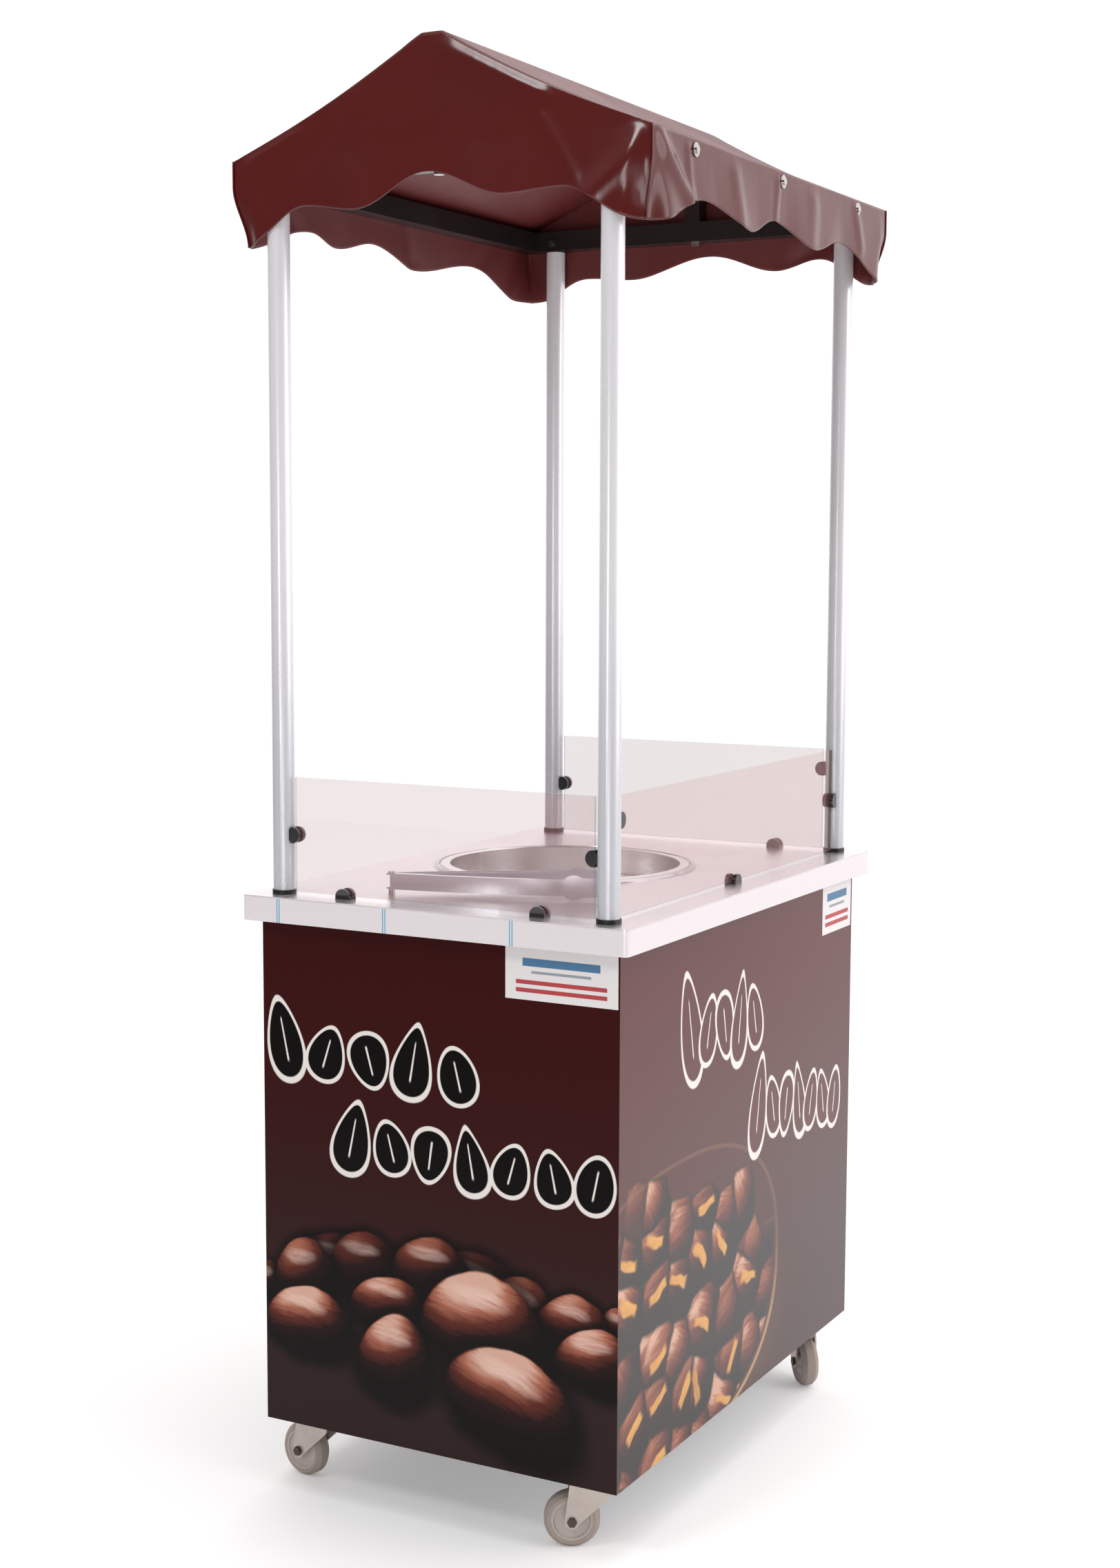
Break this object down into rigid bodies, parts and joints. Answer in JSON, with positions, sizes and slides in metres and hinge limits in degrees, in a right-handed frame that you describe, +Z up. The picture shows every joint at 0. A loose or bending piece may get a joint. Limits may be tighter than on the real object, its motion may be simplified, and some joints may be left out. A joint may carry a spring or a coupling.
{
  "type": "push vending cart",
  "caption": "Push vending cart on swivel casters: steel cabinet with two doors, stainless counter with drop-in roasting pan, glass screens and a gabled canopy on posts.",
  "frame": {"origin": "centre of the cart's footprint on the floor", "axes": "+Z up; Y along the counter's length with the front end panel at -Y; +X is the customer side with the long glass screen, -X the vendor side with the doors"},
  "size_m": [0.6304, 0.85, 1.9656],
  "materials": {
    "frame_steel": "black paint",
    "floor_sheet": "galvanised",
    "panel_print": "gloss printed film",
    "panel_inside": "gloss",
    "counter_steel": "satin stainless",
    "collar_steel": "polished",
    "pan_steel": "satin stainless",
    "burner_iron": "rough",
    "valve_brass": "satin",
    "black_plastic": "satin",
    "bolt_steel": "bright zinc",
    "post_aluminium": "satin anodised",
    "clear_glass": "polished",
    "clamp_chrome": "polished",
    "gasket_rubber": "matt",
    "rail_black": "black powder coat",
    "canopy_vinyl": "gloss coated cloth",
    "caster_steel": "pressed zinc-plated",
    "axle_steel": "dark",
    "hub_plastic": "satin",
    "tread_rubber": "grey rubber",
    "tongs_steel": "bright stainless"
  },
  "bodies": {
    "cart": {"base_frame": "frame_steel", "uprights": "frame_steel", "top_frame": "frame_steel", "floor_panel": "floor_sheet", "front_panel": "panel_print", "rear_panel": "panel_print", "side_panel": "panel_print", "vendor_fascia": "panel_inside", "door_hinge_pins": "bolt_steel", "magnetic_catches": "black_plastic", "counter_top": "counter_steel", "pan_collar": "collar_steel", "burner_straps": "floor_sheet", "burner_ring": "burner_iron", "mixer_tube": "burner_iron", "gas_valve": "valve_brass", "posts": "post_aluminium", "post_base_caps": "black_plastic", "post_base_bolts": "bolt_steel", "post_top_plugs": "black_plastic", "post_top_screws": "bolt_steel", "glass_front": "clear_glass", "glass_side": "clear_glass", "glass_rear": "clear_glass", "glass_clamps": "clamp_chrome", "clamp_gaskets": "gasket_rubber", "side_rails": "rail_black", "end_rails": "rail_black", "king_posts": "rail_black", "king_post_bolts": "bolt_steel", "ridge_bar": "rail_black", "canopy_cover": "canopy_vinyl", "canopy_screws": "bolt_steel", "caster_plates": "caster_steel", "caster_bolts": "bolt_steel"},
    "front_door": {"door_front": "panel_inside", "door_handle_front": "black_plastic"},
    "rear_door": {"door_rear": "panel_inside", "door_handle_rear": "black_plastic"},
    "knob": {"control_knob": "black_plastic"},
    "pan": {"roasting_pan": "pan_steel"},
    "tongs": {"tongs_near_arm": "tongs_steel", "tongs_pin": "bolt_steel"},
    "tongs_arm": {"tongs_far_arm": "tongs_steel"},
    "swivel_fr": {"fork_fr": "caster_steel", "axle_fr": "axle_steel"},
    "wheel_fr": {"hub_fr": "hub_plastic", "tyre_fr": "tread_rubber"},
    "swivel_fl": {"fork_fl": "caster_steel", "axle_fl": "axle_steel"},
    "wheel_fl": {"hub_fl": "hub_plastic", "tyre_fl": "tread_rubber"},
    "swivel_rr": {"fork_rr": "caster_steel", "axle_rr": "axle_steel"},
    "wheel_rr": {"hub_rr": "hub_plastic", "tyre_rr": "tread_rubber"},
    "swivel_rl": {"fork_rl": "caster_steel", "axle_rl": "axle_steel"},
    "wheel_rl": {"hub_rl": "hub_plastic", "tyre_rl": "tread_rubber"}
  },
  "joints": [
    {"name": "front_door_hinge", "type": "hinge", "parent": "cart", "child": "front_door", "pos_m": [-0.2675, -0.3918, 0.4], "axis": [0, 0, 1], "range_deg": [0, 105]},
    {"name": "rear_door_hinge", "type": "hinge", "parent": "cart", "child": "rear_door", "pos_m": [-0.2675, 0.3918, 0.4], "axis": [0, 0, -1], "range_deg": [0, 105]},
    {"name": "swivel_turn_fr", "type": "hinge", "parent": "cart", "child": "swivel_fr", "pos_m": [0.219, -0.349, 0.08], "axis": [0, 0, 1], "continuous": true},
    {"name": "wheel_roll_fr", "type": "hinge", "parent": "swivel_fr", "child": "wheel_fr", "pos_m": [0.18898, -0.36496, 0.0375], "axis": [0.4695, -0.8829, 0], "continuous": true},
    {"name": "swivel_turn_fl", "type": "hinge", "parent": "cart", "child": "swivel_fl", "pos_m": [-0.219, -0.349, 0.08], "axis": [0, 0, 1], "continuous": true},
    {"name": "wheel_roll_fl", "type": "hinge", "parent": "swivel_fl", "child": "wheel_fl", "pos_m": [-0.25238, -0.34251, 0.0375], "axis": [-0.1908, -0.9816, 0], "continuous": true},
    {"name": "swivel_turn_rr", "type": "hinge", "parent": "cart", "child": "swivel_rr", "pos_m": [0.219, 0.349, 0.08], "axis": [0, 0, 1], "continuous": true},
    {"name": "wheel_roll_rr", "type": "hinge", "parent": "swivel_rr", "child": "wheel_rr", "pos_m": [0.24085, 0.32295, 0.0375], "axis": [0.766, 0.6428, 0], "continuous": true},
    {"name": "swivel_turn_rl", "type": "hinge", "parent": "cart", "child": "swivel_rl", "pos_m": [-0.219, 0.349, 0.08], "axis": [0, 0, 1], "continuous": true},
    {"name": "wheel_roll_rl", "type": "hinge", "parent": "swivel_rl", "child": "wheel_rl", "pos_m": [-0.23063, 0.31705, 0.0375], "axis": [0.9397, -0.342, 0], "continuous": true},
    {"name": "knob_turn", "type": "hinge", "parent": "cart", "child": "knob", "pos_m": [-0.275, 0.045, 0.727], "axis": [1, 0, 0], "range_deg": [0, 180]},
    {"name": "pan_lift", "type": "slide", "parent": "cart", "child": "pan", "axis": [0, 0, 1], "range_m": [0, 0.15]},
    {"name": "tongs_lift", "type": "slide", "parent": "cart", "child": "tongs", "axis": [0, 0, 1], "range_m": [0, 0.2]},
    {"name": "tongs_close", "type": "hinge", "parent": "tongs", "child": "tongs_arm", "pos_m": [-0.118, -0.322, 0.86], "axis": [0, 0, -1], "range_deg": [0, 8], "stiffness_Nm_per_rad": 0.3}
  ]
}
